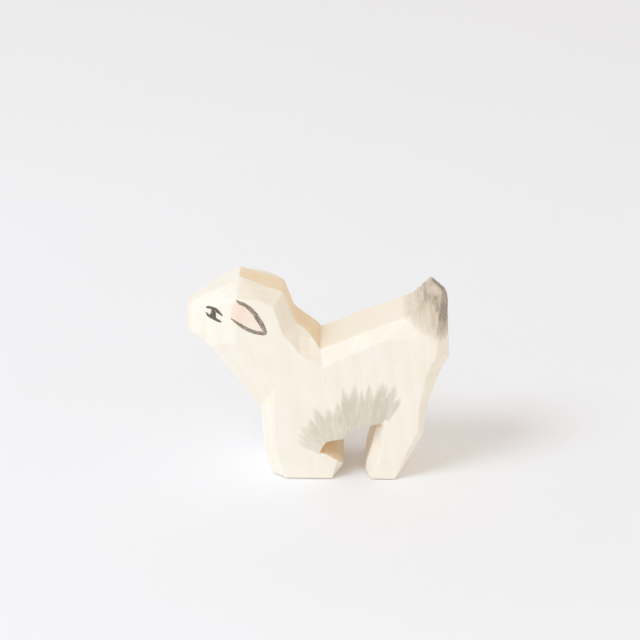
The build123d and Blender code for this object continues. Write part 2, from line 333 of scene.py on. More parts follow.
def carved_surface():
    """The finished wood: points, triangles, facet normals, and what the finish needs to know at
    each point: how sawn, how browned by the saw and by painted shade, how knife-cut, how near to an
    edge, and how torn by the saw and lit by painted light in the arch."""
    points, triangles, normals, knife_edges = fine_surface()
    count = len(points)
    sawn_face = np.abs(normals[:, 1]) < SAWN_FACING
    flat_face = np.abs(normals[:, 1]) > FLAT_FACING
    middles = points[triangles].mean(1)
    # Each place's toast is partly the saw's real browning and partly painted shade
    toast_and_shade = np.full(len(triangles), OTHER_TOAST_AND_SHADE)
    for area, amount in TOAST_AND_SHADE:
        toast_and_shade[in_area(middles, area)] = amount
    sawn = point_average(count, triangles, sawn_face.astype(float))
    toasted_and_shaded = point_average(count, triangles, sawn_face * toast_and_shade)
    # Painted shade, deepening on the sawn faces towards the arch's inner corner
    from_corner = np.hypot(points[:, 0] - ARCH_SHADE_CORNER[0], points[:, 2] - ARCH_SHADE_CORNER[1])
    toasted_and_shaded += (1 - toasted_and_shaded) * sawn * (1 - eased(from_corner, *ARCH_SHADE_REACH))
    knife = 1 - sawn - point_average(count, triangles, flat_face.astype(float))

    sharp = nearest_edge(points, [edge for edge in knife_edges if edge[2] >= FAINT_ANGLE])
    faint = nearest_edge(points, [edge for edge in knife_edges if edge[2] < FAINT_ANGLE])
    grounded = [edge for edge in knife_edges if edge[0][2] + edge[1][2] < ON_GROUND]
    sole = nearest_edge(points, grounded)
    reach, passes = FAINT_EASE
    share = EASE_STEP * (1 - eased(faint, 0, reach)) * eased(sharp, SHARP_MARGIN, reach)
    points = ease(points, triangles, share, passes)
    reach, passes = EDGE_EASE
    points = ease(points, triangles, EASE_STEP * (1 - eased(sharp, 0, reach)), passes)

    outward = point_normals(points, triangles)
    height = eased(points[:, 2], 0, SOLE_EASE)
    swell = ripple(points, *FACET_SWELL) * knife
    swell += ripple(points, *SIDE_SWELL) * (1 - knife)
    swell += ripple(points, *FINE_SWELL)
    wander = [ripple(points, *EDGE_WANDER, seed) for seed in WANDER_SEEDS]
    wander = np.column_stack(wander) * WANDER_SHARES
    points = points + height[:, None] * (swell[:, None] * outward + wander)
    rise, width = SOLE_EDGE_RISE
    points[:, 2] = np.maximum(points[:, 2], rise * (1 - eased(sole, 0, width)))
    # Nearness to a knife edge: the colour pales there as a painted highlight, and the surface is a
    # little smoother
    edge = 1 - eased(sharp, 0, EDGE_EASE[0])
    from_side = cad_high[1] / MM - np.abs(points[:, 1])
    # Real saw tears near the board's sides, whose paling also stands for painted light at the
    # arch's open sides
    torn_and_lit = in_area(points, ARCH_AREA) * (1 - eased(from_side, *TORN_AND_LIT_REACH))
    marks = {"sawn": sawn, "toasted_and_shaded": toasted_and_shaded, "knife": knife, "edge": edge, "torn_and_lit": torn_and_lit}
    return points, triangles, normals, marks


def new_object(name, data):
    """A new object in the scene."""
    made = bpy.data.objects.new(name, data)
    bpy.context.scene.collection.objects.link(made)
    return made


def new_mesh_piece(name, points, faces, values, material, normals=None):
    """A smooth mesh object, from millimetres, with its values kept at each point. Where
    normals are given, it is shaded by them."""
    mesh = bpy.data.meshes.new(name)
    mesh.from_pydata(points * MM, [], faces.tolist())
    for key, value in values.items():
        stored = mesh.attributes.new(key, "FLOAT", "POINT")
        stored.data.foreach_set("value", value.astype(np.float32))
    mesh.polygons.foreach_set("use_smooth", [True] * len(mesh.polygons))
    mesh.materials.append(material)
    mesh.update()
    if normals is not None:
        mesh.normals_split_custom_set_from_vertices(normals.tolist())
    return new_object(name, mesh)


def stand_for(piece, node):
    """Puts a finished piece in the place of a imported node."""
    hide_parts(node)
    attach(piece, "root")


# Thin washes of paint. Each is worked out at the wood's own points: how far a point lies
# inside the wash, how strong the wash is there, and where the point lies across and along
# the path of the brush.
WASH_VALUES = ("inside", "strength", "across", "along")

# How far outside a wash's own edge its layer reaches, over what width and how deep its top
# sinks there, and how high its top and how deep its underside lie elsewhere
WASH_FEATHER = -0.6
WASH_FADE = 0.4
WASH_DIP = 1.7
WASH_COAT = 0.03
WASH_SUNK = 0.05


def thin_coat(points, triangles, outward, values):
    """A thin closed layer over the triangles that a wash reaches. Past the wash's edge it
    dips into the wood, and it is shaded as the wood below it."""
    inside = values["inside"]
    sinking = 1 - eased(inside, WASH_FEATHER, WASH_FEATHER + WASH_FADE)
    lift = WASH_COAT * (1 - WASH_DIP * sinking)
    kept = triangles[(inside[triangles] > WASH_FEATHER).any(axis=1)]
    used, kept = np.unique(kept, return_inverse=True)
    kept = kept.reshape(-1, 3)
    sides = triangle_sides(kept).tolist()
    there = {tuple(side) for side in sides}
    rim = np.array([side for side in sides if (side[1], side[0]) not in there])
    top = points[used] + (lift[:, None] * outward)[used]
    bottom = points[used] - WASH_SUNK * outward[used]
    under = rim + len(used)
    walls = [np.column_stack([rim[:, 0], under[:, 0], rim[:, 1]]),
             np.column_stack([rim[:, 1], under[:, 0], under[:, 1]])]
    faces = np.concatenate([kept, kept[:, ::-1] + len(used)] + walls)
    values = {key: np.tile(value[used], 2) for key, value in values.items()}
    normals = np.concatenate([outward[used], -outward[used]])
    return np.concatenate([top, bottom]), faces, values, normals


# The belly's brush strokes, each from the arch to its tip, from the chest to the flank,
# and how strong each is
BELLY_STROKES = np.array([
    (0.6, 8.6, -5.6, 11.9), (0.9, 9.2, -5.4, 13.6), (1.2, 10.0, -4.6, 15.7),
    (1.9, 11.0, -2.3, 18.0), (2.8, 11.6, -0.7, 21.2), (4.2, 12.0, 2.7, 21.6),
    (6.3, 12.4, 5.2, 23.3), (7.9, 14.0, 6.7, 26.9), (9.8, 15.2, 10.1, 28.7),
    (11.4, 15.8, 11.8, 27.3), (13.2, 16.2, 13.6, 28.0), (16.0, 16.6, 17.6, 29.4),
    (17.9, 17.5, 20.5, 28.1), (18.3, 18.5, 22.2, 24.9),
])
BELLY_STRENGTH = (0.55, 0.62, 0.7, 0.8, 0.85, 0.8, 0.85, 0.95, 1.0, 0.85, 0.95, 1.0, 1.0, 0.8)
BELLY_GAP = 1.9  # from stroke to stroke
BELLY_HALF_WIDTH = 0.72  # of a stroke at its root, in shares of the gap
BELLY_TAPER = (0.42, 0.58, 1.7)  # where along it this narrows, over what share, by what power
BELLY_ROOT = (3, 2.4)  # how steeply the paint ends behind the roots, and from what depth
BELLY_LAST = (1.2, 11.5, 12.8)  # how much less deep it is behind the last strokes
BELLY_PAST = 1.0  # how far the paint reaches past the outer strokes
BELLY_FADE = (0.35, 0.55, 1.0)  # how much a stroke fades, and where along it
BELLY_STREAKS = 2.0  # the brush's width for each stroke
OTHER_SIDE = 40  # how far off the other side's streaks are


def brush_fan(points, strokes):
    """Where each point lies in a fan of strokes: its place among them, how far it is along,
    in millimetres and as a share of the nearest one, which one that is, and how far it is
    past the outer strokes."""
    flat = points[:, [0, 2]]
    roots, tips = strokes[:, :2], strokes[:, 2:]
    lengths = np.linalg.norm(tips - roots, axis=1)
    ways = (tips - roots) / lengths[:, None]
    from_root = flat[:, None] - roots
    beside = ways[:, 0] * from_root[..., 1] - ways[:, 1] * from_root[..., 0]
    after = np.clip((beside < 0).sum(1), 1, len(strokes) - 1)
    rows = np.arange(len(points))
    left, right = beside[rows, after - 1], beside[rows, after]
    crossing = left / (left - right)
    between = np.where(right < 0, 1 - right / 2, np.where(left > 0, -left / 2, crossing))
    among = after - 1 + between
    nearest = np.clip(among.round().astype(int), 0, len(strokes) - 1)
    share = np.clip(among - after + 1, 0, 1)[:, None]
    way = ways[after - 1] * (1 - share) + ways[after] * share
    root = roots[after - 1] * (1 - share) + roots[after] * share
    along = ((flat - root) * way).sum(1)
    past = np.maximum(beside[:, 0], -beside[:, -1])
    return among, along, along / lengths[nearest], nearest, past


def belly_wash(points, side):
    """The grey fleece under the belly: strokes flicked up from the arch."""
    among, along, share, nearest, past = brush_fan(points, BELLY_STROKES)
    start, further, power = BELLY_TAPER
    width = BELLY_HALF_WIDTH * (1 - np.clip((share - start) / further, 0, 2) ** power)
    slope, depth = BELLY_ROOT
    less, *last = BELLY_LAST
    behind = slope * along + depth - less * eased(among, *last)
    inside = np.minimum((width - np.abs(among - nearest)) * BELLY_GAP, behind)
    inside = np.minimum(inside, BELLY_PAST - past)
    fade, *faded = BELLY_FADE
    strength = np.interp(among, np.arange(len(BELLY_STRENGTH)), BELLY_STRENGTH)
    strength = strength * (1 - fade * eased(share, *faded))
    return inside, strength, among * BELLY_STREAKS + side * OTHER_SIDE, along


# The tail's wash is brushed down from its top. Its reach is given for angles from
# straight down, towards the rump, in degrees.
TAIL_TOP = np.array([29.9, 55.8])
TAIL_ANGLES = (-90, -70, -50, -28, -10, 4, 14, 30, 60)
TAIL_REACHES = (9.5, 11.3, 11.5, 11.0, 12.4, 13.8, 15.2, 15.0, 14.0)
# Where the brush was pressed, as strokes from one X and Z to another, with half their
# width and their strength, and where it left the wood barer. Both fade out between two
# shares of the half width.
TAIL_DABS = np.array([
    (28.2, 52.6, 28.6, 51.0, 0.8, 0.85), (30.9, 51.0, 31.6, 48.2, 0.8, 0.85),
    (29.2, 51.8, 30.6, 50.0, 0.7, 0.8), (28.0, 48.8, 29.2, 45.4, 1.2, 0.34),
    (30.2, 48.0, 30.8, 44.6, 0.9, 0.5), (32.3, 50.4, 32.6, 47.0, 0.5, 0.65),
    (21.4, 46.6, 25.6, 49.4, 0.35, 0.34), (20.0, 44.6, 24.8, 47.2, 0.35, 0.32),
    (22.2, 44.0, 25.4, 46.4, 0.35, 0.3),
])
DAB_EDGE = (0.4, 1.4)
TAIL_BARE = np.array([(30.4, 53.2, 31.9, 52.3, 0.9), (28.9, 49.6, 29.3, 47.4, 0.5)])
BARE_EDGE = (0.5, 1.3)
BARE_SHARE = 0.25
# How strong the wash is at the top, and how much it fades between two distances from
# there, on the sides and on the dark rear
TAIL_STRENGTH = 0.64
TAIL_FADE = (0.37, 4.5, 11.5)
REAR_FADE = (0.9, 10.0, 15.5)
# The rear begins at a crease, given as its X at one Z and its lean, and wherever the wood
# faces so far rearwards
TAIL_CREASE = (31.45, 44, 0.171)
CREASE_EDGE = (-0.15, 0.35)
REAR_FACING = (0.42, 0.6)
TAIL_FAN = (4, 0.55, 9)  # the streaks' radius at the top, its growth, and until where


def fading(points, dab, edge):
    """From 1 on a straight stroke to 0 beside it, between two shares of its half width."""
    distance = edge_distance(points[:, [0, 2]], [dab[:2]], [dab[2:4]])
    return 1 - eased(distance, edge[0] * dab[4], edge[1] * dab[4])


def tail_wash(points, outward):
    """The grey tail: dark over its rear and its ridge, streaked and thin in front."""
    offset = points[:, [0, 2]] - TAIL_TOP
    angle = np.degrees(np.arctan2(offset[:, 0], -offset[:, 1]))
    far = np.linalg.norm(offset, axis=1)
    inside = np.interp(angle, TAIL_ANGLES, TAIL_REACHES) - far
    fade, *faded = TAIL_FADE
    strength = TAIL_STRENGTH - fade * eased(far, *faded)
    for dab in TAIL_DABS:
        strength = np.maximum(strength, dab[5] * fading(points, dab, DAB_EDGE))
    for dab in TAIL_BARE:
        strength *= 1 - BARE_SHARE * fading(points, dab, BARE_EDGE)
    crease_x, crease_z, lean = TAIL_CREASE
    past = points[:, 0] - crease_x - lean * (points[:, 2] - crease_z)
    rear = np.maximum(eased(past, *CREASE_EDGE), eased(outward[:, 0], *REAR_FACING))
    fade, *faded = REAR_FADE
    strength += (1 - strength) * rear * (1 - fade * eased(far, *faded))
    width, growth, limit = TAIL_FAN
    return inside, strength, np.radians(angle) * (width + growth * np.minimum(far, limit)), far


NOSE_EDGE = 33.6  # how far in front of X 0 the nose's pink starts
NOSE_RISE = (33.2, 34.6)  # and between which distances it grows strong


def nose_blush(points):
    """The faint pink on the front of the nose."""
    x, y, z = points.T
    return -NOSE_EDGE - x, eased(-x, *NOSE_RISE), y, z


# The left side's drawn lines, as X and Z: an eye's from its pupil, in shares of its
# length, and an ear's from its drooping tip, in shares of its own
EYE_LENGTH = 4.5
EYE_CENTRE = (-27.65, 47.29)
UPPER_LID = [(-0.45, 0.34), (-0.19, 0.41), (0.10, 0.37), (0.29, 0.24), (0.57, 0.02)]
UPPER_LID_WIDTHS = (0.34, 0.62, 0.86, 0.9, 0.4)
LOWER_LID = [(-0.46, 0.05), (-0.29, -0.11), (-0.08, -0.21), (0.14, -0.29), (0.48, -0.37)]
LOWER_LID_WIDTHS = (0.45, 0.72, 0.82, 0.8, 0.62)
PUPIL = [(0.00, 0.34), (-0.01, 0.20), (-0.01, 0.02), (-0.03, -0.16), (-0.03, -0.27)]
PUPIL_WIDTHS = (0.85, 1.25, 1.6, 1.75, 1.3)
EAR_LENGTH = 10.0
EAR_TIP = (-13.485, 43.11)
EAR_UPPER = [(-0.79, 0.96), (-0.69, 0.89), (-0.56, 0.83), (-0.44, 0.73), (-0.32, 0.59),
             (-0.22, 0.44), (-0.10, 0.22), (0.00, 0.00)]
EAR_UPPER_WIDTHS = (0.82, 0.86, 0.95, 1.08, 1.22, 1.28, 1.2, 0.75)
EAR_LOWER = [(-0.95, 0.41), (-0.81, 0.34), (-0.69, 0.25), (-0.56, 0.17), (-0.41, 0.09),
             (-0.25, 0.04), (-0.12, 0.01), (0.00, 0.00)]
EAR_LOWER_WIDTHS = (0.45, 0.72, 0.87, 0.95, 1.0, 1.03, 1.08, 0.75)
EAR_ROOT = [(-0.93, 0.60), (-0.91, 0.78)]
EAR_WAY = np.array([0.79, -0.61])  # the way of the brush in the ear, towards its tip
EAR_TIP_STRENGTH = 0.62  # how strong the pink is at the tip
EAR_RISE = (4.5, 9.0)  # the distances from there between which it grows full


def marks_about(centre, size, shares):
    """X and Z of each place that is given in shares of a size, counted from a centre."""
    return [(centre[0] + size * right, centre[1] + size * up) for right, up in shares]


def ear_blush(points):
    """The pink inside an ear, strongest at its root and worn thin towards the tip."""
    outline = EAR_UPPER + EAR_LOWER[-2::-1] + EAR_ROOT
    corners = np.array(marks_about(EAR_TIP, EAR_LENGTH, outline))
    ends = np.roll(corners, -1, axis=0)
    flat = points[:, [0, 2]]
    within = is_inside(flat, corners, ends)
    inside = np.where(within, 1, -1) * edge_distance(flat, corners, ends)
    from_tip = (np.array(EAR_TIP) - flat) @ EAR_WAY
    across = flat @ np.array([EAR_WAY[1], -EAR_WAY[0]])
    strength = EAR_TIP_STRENGTH + (1 - EAR_TIP_STRENGTH) * eased(from_tip, *EAR_RISE)
    return inside, strength, across, from_tip


# Brush strokes for the drawn lines
STROKE_SETTINGS = {
    "Step": 0.12 * MM,  # between points along a stroke
    "Hairs": 11,  # points side by side across it
    "Sunk": 0.05 * MM,  # how deep its underside lies in the wood
    "Wander": 0.16 * MM,  # how far its middle wanders
    "Ragged": 0.5,  # how ragged its sides are, as a share of its half width
}
END_POWER = 14.0  # how suddenly a stroke narrows at its ends
END_TAPER = 0.92  # and by what share of its width
SEED_STEP = 7.3  # how far apart the noise of two strokes is


def brush_stroke_tree():
    """Geometry nodes that turn a line of points with widths into a thin closed stroke of
    paint laid against the wood."""
    tree = bpy.data.node_groups.new("brush_stroke", "GeometryNodeTree")
    kinds = {
        "Line": "Geometry", "Wood": "Object", "Step": "Float", "Hairs": "Int",
        "Coat": "Float", "Sunk": "Float", "Wander": "Float", "Ragged": "Float",
        "Seed": "Int", "Paint": "Material",
    }
    for name, kind in kinds.items():
        tree.interface.new_socket(name, in_out="INPUT", socket_type="NodeSocket" + kind)
    tree.interface.new_socket("Stroke", in_out="OUTPUT", socket_type="NodeSocketGeometry")
    given = add(tree, "NodeGroupInput").node.outputs
    number, vector = {"data_type": "FLOAT"}, {"data_type": "FLOAT_VECTOR"}

    # A curve through the line's places, which remembers its course
    line = add(tree, "GeometryNodeMeshToCurve", (given["Line"],))
    line = add(tree, "GeometryNodeCurveSplineType", (line,), spline_type="CATMULL_ROM")
    line_step = {"Curve": line, "Length": given["Step"]}
    line = add(tree, "GeometryNodeResampleCurve", line_step, mode="LENGTH")
    line = add(tree, STORE, {0: line, "Name": "middle", "Value": add(tree, SPOT)}, **vector)
    tangent = add(tree, "GeometryNodeInputTangent")
    line = add(tree, STORE, {0: line, "Name": "forwards", "Value": tangent}, **vector)
    length = add(tree, "GeometryNodeSplineParameter", out="Length")
    line = add(tree, STORE, {0: line, "Name": "along", "Value": length}, **number)
    from_middle = add(tree, MATH, (length.node.outputs["Factor"], 2.0, -1.0), **TIMES_PLUS)
    from_middle = add(tree, MATH, (from_middle,), operation="ABSOLUTE")
    blunt = add(tree, MATH, (from_middle, END_POWER), operation="POWER")
    blunt = add(tree, MATH, (blunt, -END_TAPER, 1.0), **TIMES_PLUS)
    width = add(tree, MATH, (add(tree, STORED, ("width",), **number), blunt), **TIMES)
    line = add(tree, STORE, {0: line, "Name": "width", "Value": width}, **number)
    # The brush's hairs side by side, drawn along the curve
    hairs = add(tree, "GeometryNodeCurvePrimitiveLine", {"Start": (-1, 0, 0), "End": (1, 0, 0)})
    hair_count = {"Curve": hairs, "Count": given["Hairs"]}
    hairs = add(tree, "GeometryNodeResampleCurve", hair_count, mode="COUNT")
    sideways = add(tree, "ShaderNodeSeparateXYZ", (add(tree, SPOT),))
    hairs = add(tree, STORE, {0: hairs, "Name": "across", "Value": sideways}, **number)
    ribbon = add(tree, "GeometryNodeCurveToMesh", (line, hairs))

    # Its middle wanders and its sides are ragged
    across, along, width = (
        add(tree, STORED, (name,), **number) for name in ("across", "along", "width"))
    middle, forwards = (add(tree, STORED, (name,), **vector) for name in ("middle", "forwards"))
    turn = add(tree, VECTOR_MATH, (forwards, (0, 1, 0)), operation="CROSS_PRODUCT")
    turn = add(tree, VECTOR_MATH, (turn,), operation="NORMALIZE")
    far_along = add(tree, MATH, (along, 1 / MM), **TIMES)
    seed = add(tree, MATH, (given["Seed"], SEED_STEP), **TIMES)
    stray = []
    for name, spot, scale, detail in (("Wander", (far_along, seed), 0.7, 1.0),
                                      ("Ragged", (far_along, across, seed), 2.6, 2.0)):
        spot = add(tree, JOIN_XYZ, spot)
        value = add(tree, NOISE, {"Vector": spot, "Scale": scale, "Detail": detail})
        value = add(tree, MATH, (value, 0.5), **MINUS)
        stray.append(add(tree, MATH, (value, given[name]), **TIMES))
    half = add(tree, MATH, (width, add(tree, MATH, (stray[1], 0.5), **PLUS)), **TIMES)
    out = add(tree, MATH, (half, across, stray[0]), **TIMES_PLUS)
    outwards = add(tree, VECTOR_MATH, {0: turn, "Scale": out}, **LENGTHEN)
    place = add(tree, VECTOR_MATH, (middle, outwards), **PLUS)
    ribbon = add(tree, MOVE, {"Geometry": ribbon, "Position": place})

    # Laid against the wood, with its top just above the surface and its bottom just under
    wood = add(tree, "GeometryNodeObjectInfo", {"Object": given["Wood"]}, out="Geometry")
    inwards = add(tree, VECTOR_MATH, (add(tree, SPOT), (0, -1, 0)), **TIMES)
    inwards = add(tree, VECTOR_MATH, (inwards,), operation="NORMALIZE")
    ray = {"Target Geometry": wood, "Ray Direction": inwards, "Ray Length": 0.1}
    hit = add(tree, "GeometryNodeRaycast", ray, out="Hit Position", **number)
    square = hit.node.outputs["Hit Normal"]
    raised = add(tree, VECTOR_MATH, {0: square, "Scale": given["Coat"]}, **LENGTHEN)
    raised = add(tree, VECTOR_MATH, (hit, raised), **PLUS)
    sunk = add(tree, VECTOR_MATH, {0: square, "Scale": given["Sunk"]}, **LENGTHEN)
    sunk = add(tree, VECTOR_MATH, (hit, sunk), **MINUS)
    ribbon = add(tree, STORE, {0: ribbon, "Name": "raised", "Value": raised}, **vector)
    base = add(tree, MOVE, {"Geometry": ribbon, "Position": sunk})
    pulled = {"Mesh": base, "Offset Scale": 0.0, "Individual": False}
    slab = add(tree, "GeometryNodeExtrudeMesh", pulled, mode="FACES")
    raised = add(tree, STORED, ("raised",), **vector)
    top = {"Geometry": slab, "Selection": slab.node.outputs["Top"], "Position": raised}
    slab = add(tree, MOVE, top)
    under = add(tree, "GeometryNodeFlipFaces", (base,))
    both = add(tree, "GeometryNodeJoinGeometry", (slab,))
    tree.links.new(under, both.node.inputs[0])
    stroke = add(tree, "GeometryNodeMergeByDistance", {"Geometry": both, "Distance": 1e-7})
    for name in ("middle", "forwards", "raised", "width"):
        stroke = add(tree, "GeometryNodeRemoveAttribute", {"Geometry": stroke, "Name": name})
    stroke = add(tree, "GeometryNodeSetShadeSmooth", (stroke,))
    stroke = add(tree, "GeometryNodeRealizeInstances", (stroke,))
    stroke = add(tree, "GeometryNodeSetMaterial", {"Geometry": stroke, "Material": given["Paint"]})
    add(tree, "NodeGroupOutput", (stroke,))
    return tree


def brush_stroke(name, places, widths, side, coat, paint, seed):
    """One drawn line as a piece: its places are X and Z, and side is -1 on the left."""
    mesh = bpy.data.meshes.new(name + "_line")
    start_depth = 2 * side * cad_high[1]
    spots = [(x * MM, start_depth, z * MM) for x, z in places]
    mesh.from_pydata(spots, [(i, i + 1) for i in range(len(spots) - 1)], [])
    stored = mesh.attributes.new("width", "FLOAT", "POINT")
    stored.data.foreach_set("value", [width * MM for width in widths])
    draft = new_object(name + "_line", mesh)
    modifier = draft.modifiers.new("brush", "NODES")
    modifier.node_group = STROKES
    values = {**STROKE_SETTINGS, "Wood": body, "Coat": coat * MM, "Seed": seed, "Paint": paint}
    for item in STROKES.interface.items_tree:
        if item.in_out == "INPUT" and item.name in values:
            modifier[item.identifier] = values[item.name]
    seen = draft.evaluated_get(bpy.context.evaluated_depsgraph_get())
    stroke_mesh = bpy.data.meshes.new_from_object(seen)
    bpy.data.objects.remove(draft)
    stroke_mesh.name = name
    loose = bmesh.new()
    loose.from_mesh(stroke_mesh)
    bmesh.ops.recalc_face_normals(loose, faces=loose.faces)
    loose.to_mesh(stroke_mesh)
    loose.free()
    return new_object(name, stroke_mesh)


# Materials
PALE_WOOD = "#fbf3e3"  # the open wood between growth rings
DEEP_WOOD = "#f3e6cd"  # its denser rings and fibres
SAW_BROWN_AND_SHADE = "#ffe3bb"  # what the saw's heat leaves of the wood's colour, and also the colour of painted shade on shaded sawn faces
PER_MM = (1 / MM,) * 3  # turns metres into millimetres
GRAIN_LEAN = (math.radians(2), math.radians(4), 0)  # in the board
PITH = (31, -74, 0)  # how far off the middle of the tree lies


def maple_wood(tree):
    """Close, pale maple with upright grain, sawn, knife-cut and thinly oiled: its colour,
    its roughness and the height of its surface in millimetres."""
    sawn, toasted_and_shaded, knife, edge, torn_and_lit = (
        add(tree, MARK, out="Fac", attribute_name=name)
        for name in ("sawn", "toasted_and_shaded", "knife", "edge", "torn_and_lit"))
    place = add(tree, PLACE, out="Object")
    grain = add(tree, STRETCH, {"Vector": place, "Rotation": GRAIN_LEAN, "Scale": PER_MM})
    in_mm = add(tree, STRETCH, {"Vector": place, "Scale": PER_MM})
    # Growth rings 2.3 mm apart, about a pith that lies behind the board
    from_pith = add(tree, STRETCH, {"Vector": grain, "Location": PITH})
    from_pith = add(tree, STRETCH, {"Vector": from_pith, "Scale": (1, 1, 0.06)})
    rings = {"Vector": from_pith, "Scale": 0.1366, "Distortion": 2.2, "Detail": 2.0,
             "Detail Scale": 0.35}
    kind = {"wave_type": "RINGS", "rings_direction": "Z", "wave_profile": "SAW"}
    ring = add(tree, "ShaderNodeTexWave", rings, out="Fac", **kind)
    ring = add(tree, RISE, (ring, 0.25, 0.95), **SMOOTH)
    patterns = []
    for source, stretch, detail, rough in (
            # Fibres are about 0.03 mm across, drawn as bundles of 0.4 mm so that they show
            (grain, (2.4, 2.4, 0.13), 4.0, 0.6),
            # Flecks about 0.3 mm across and 2 mm long
            (grain, (3.2, 3.2, 0.5), 1.0, 0.5),
            # The saw's ridges straight across the board, and the knife's along its cut
            (in_mm, (1.1, 0.05, 1.1), 3.0, 0.5),
            (in_mm, (0.06, 2.6, 0.06), 3.0, 0.5)):
        pattern = {"Vector": add(tree, STRETCH, {"Vector": source, "Scale": stretch})}
        pattern |= {"Scale": 1.0, "Detail": detail, "Roughness": rough}
        patterns.append(add(tree, NOISE, pattern))
    fibre, fleck, saw_ridge, knife_ridge = patterns
    fleck = add(tree, RISE, (fleck, 0.62, 0.72), **SMOOTH)
    cloud = add(tree, NOISE, {"Vector": in_mm, "Scale": 0.11, "Detail": 3.0})
    # The colour deepens with each of these by its own share, and pales along the knife edges as a
    # painted highlight
    deep = add(tree, MATH, (ring, 0.13, -0.26), **TIMES_PLUS)
    for part, share in ((fibre, 0.45), (fleck, 0.12), (cloud, 0.45), (edge, -0.08)):
        deep = add(tree, MATH, (part, share, deep), **TIMES_PLUS)
    deep = add(tree, RISE, (deep, -0.15, 0.85), **SMOOTH)
    colours = {0: deep, 6: linear(PALE_WOOD), 7: linear(DEEP_WOOD)}
    colour = add(tree, MIX, colours, **COLOUR_MIX)
    # The saw's heat browned the wood unevenly, and painted shade deepens that brown where shade
    # falls. Its teeth tore pale streaks in the arch, made paler near the open sides as painted
    # light.
    uneven = add(tree, NOISE, {"Vector": in_mm, "Scale": 0.35, "Detail": 3.0})
    uneven = add(tree, RISE, (uneven, 0.3, 0.7, 0.75, 1.1), **SMOOTH)
    streak = add(tree, RISE, (saw_ridge, 0.38, 0.54), **SMOOTH)
    streak = add(tree, MATH, (torn_and_lit, streak), **TIMES)
    unstreaked = add(tree, MATH, (streak, -0.8, 1.0), **TIMES_PLUS)
    browned_and_shaded = add(tree, MATH, (toasted_and_shaded, uneven), **TIMES)
    browned_and_shaded = add(tree, MATH, (browned_and_shaded, unstreaked), **TIMES)
    colour = add(tree, MIX, {0: browned_and_shaded, 6: colour, 7: linear(SAW_BROWN_AND_SHADE)}, **COLOUR_TIMES)
    height = add(tree, MATH, (fibre, 0.022), **TIMES)
    height = add(tree, MATH, (fleck, -0.010, height), **TIMES_PLUS)
    for ridge, cut, depth in ((saw_ridge, sawn, 0.07), (knife_ridge, knife, 0.045)):
        ridge = add(tree, MATH, (ridge, cut), **TIMES)
        height = add(tree, MATH, (ridge, depth, height), **TIMES_PLUS)
    roughness = add(tree, MATH, (fibre, 0.16, 0.50), **TIMES_PLUS)
    roughness = add(tree, MATH, (toasted_and_shaded, 0.14, roughness), **TIMES_PLUS)
    roughness = add(tree, MATH, (edge, -0.06, roughness), **TIMES_PLUS)
    return colour, roughness, height


def finished(name, build):
    """A material whose build function gives its colour, roughness and height in mm."""
    material = bpy.data.materials.new(name)
    material.use_nodes = True
    tree = material.node_tree
    shader = tree.nodes["Principled BSDF"]
    colour, roughness, height = build(tree)
    tree.links.new(colour, shader.inputs["Base Color"])
    tree.links.new(roughness, shader.inputs["Roughness"])
    bump = add(tree, "ShaderNodeBump", {"Height": height, "Distance": MM, "Strength": 1.0})
    tree.links.new(bump, shader.inputs["Normal"])
    shader.inputs["Specular IOR Level"].default_value = 0.35
    return material


def wash_on_wood(thin, dense, hairs, feather, streaks, contrast):
    """Watery paint on bare wood: the grain shows through, and the brush's hairs leave
    streaks and a ragged edge. thin and dense are its tints where there is little and much
    of it, hairs is how many streaks a millimetre has, contrast how far they differ, streaks
    how far they make the edge stray, and feather how wide it fades."""

    def build(tree):
        colour, roughness, height = maple_wood(tree)
        across, along, inside, strength, sideways = (
            add(tree, MARK, out="Fac", attribute_name=name)
            for name in ("across", "along", "inside", "strength", "sideways"))
        spot = add(tree, JOIN_XYZ, (across, along, sideways))
        stretch = (hairs, 0.16 * hairs, 0.22 * hairs)
        streak = add(tree, STRETCH, {"Vector": spot, "Scale": stretch})
        streak = add(tree, NOISE, {"Vector": streak, "Scale": 1.0, "Detail": 3.0, "Roughness": 0.6})
        blot = add(tree, STRETCH, {"Vector": spot, "Scale": (0.5, 0.3, 0.3)})
        blot = add(tree, NOISE, {"Vector": blot, "Scale": 1.0, "Detail": 2.0})
        edge = add(tree, MATH, (streak, streaks, inside), **TIMES_PLUS)
        middle = 0.5 * streaks
        cover = add(tree, RISE, (edge, middle - feather, middle + feather), **SMOOTH)
        density = add(tree, MATH, (blot, 0.4, streak), **TIMES_PLUS)
        least, most = 1 - contrast, 1 + 0.4 * contrast
        density = add(tree, RISE, (density, 0.45, 0.95, least, most), **SMOOTH)
        amount = add(tree, MATH, (cover, density), **TIMES)
        amount = add(tree, MATH, (amount, strength), **TIMES)
        amount = add(tree, MATH, (amount, 1.0), operation="MINIMUM")
        pooled = add(tree, RISE, (amount, 0.45, 0.85), **SMOOTH)
        tint = add(tree, MIX, {0: pooled, 6: linear(thin), 7: linear(dense)}, **COLOUR_MIX)
        colour = add(tree, MIX, {0: amount, 6: colour, 7: tint}, **COLOUR_TIMES)
        return colour, add(tree, MATH, (amount, 0.1, roughness), **TIMES_PLUS), height

    return build


